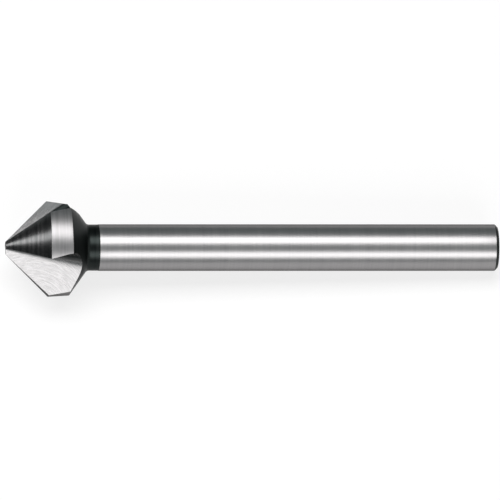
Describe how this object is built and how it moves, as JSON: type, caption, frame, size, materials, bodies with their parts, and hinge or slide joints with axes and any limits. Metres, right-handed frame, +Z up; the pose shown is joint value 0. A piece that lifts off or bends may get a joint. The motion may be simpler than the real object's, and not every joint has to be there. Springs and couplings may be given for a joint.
{
  "type": "countersink bit",
  "caption": "Steel countersink bit with a 90-degree fluted cutting cone, a short ground land behind it, a dark neck and a long plain round shank.",
  "frame": {"origin": "on the bench, under the middle of the lying tool's box", "axes": "+X from the point towards the shank, +Z up from the bench; the tool lies with one flute down, so its shank slopes down towards +X by about 2.6 degrees"},
  "size_m": [0.1062, 0.021, 0.0199],
  "materials": {
    "tool_steel": "high-speed steel, bright from the grinding wheel on the cone, flutes, land and shank, and dark from hardening on the neck, the cone behind the head and the shank's end"
  },
  "bodies": {
    "root": {"countersink_bit": "tool_steel"}
  },
  "joints": []
}
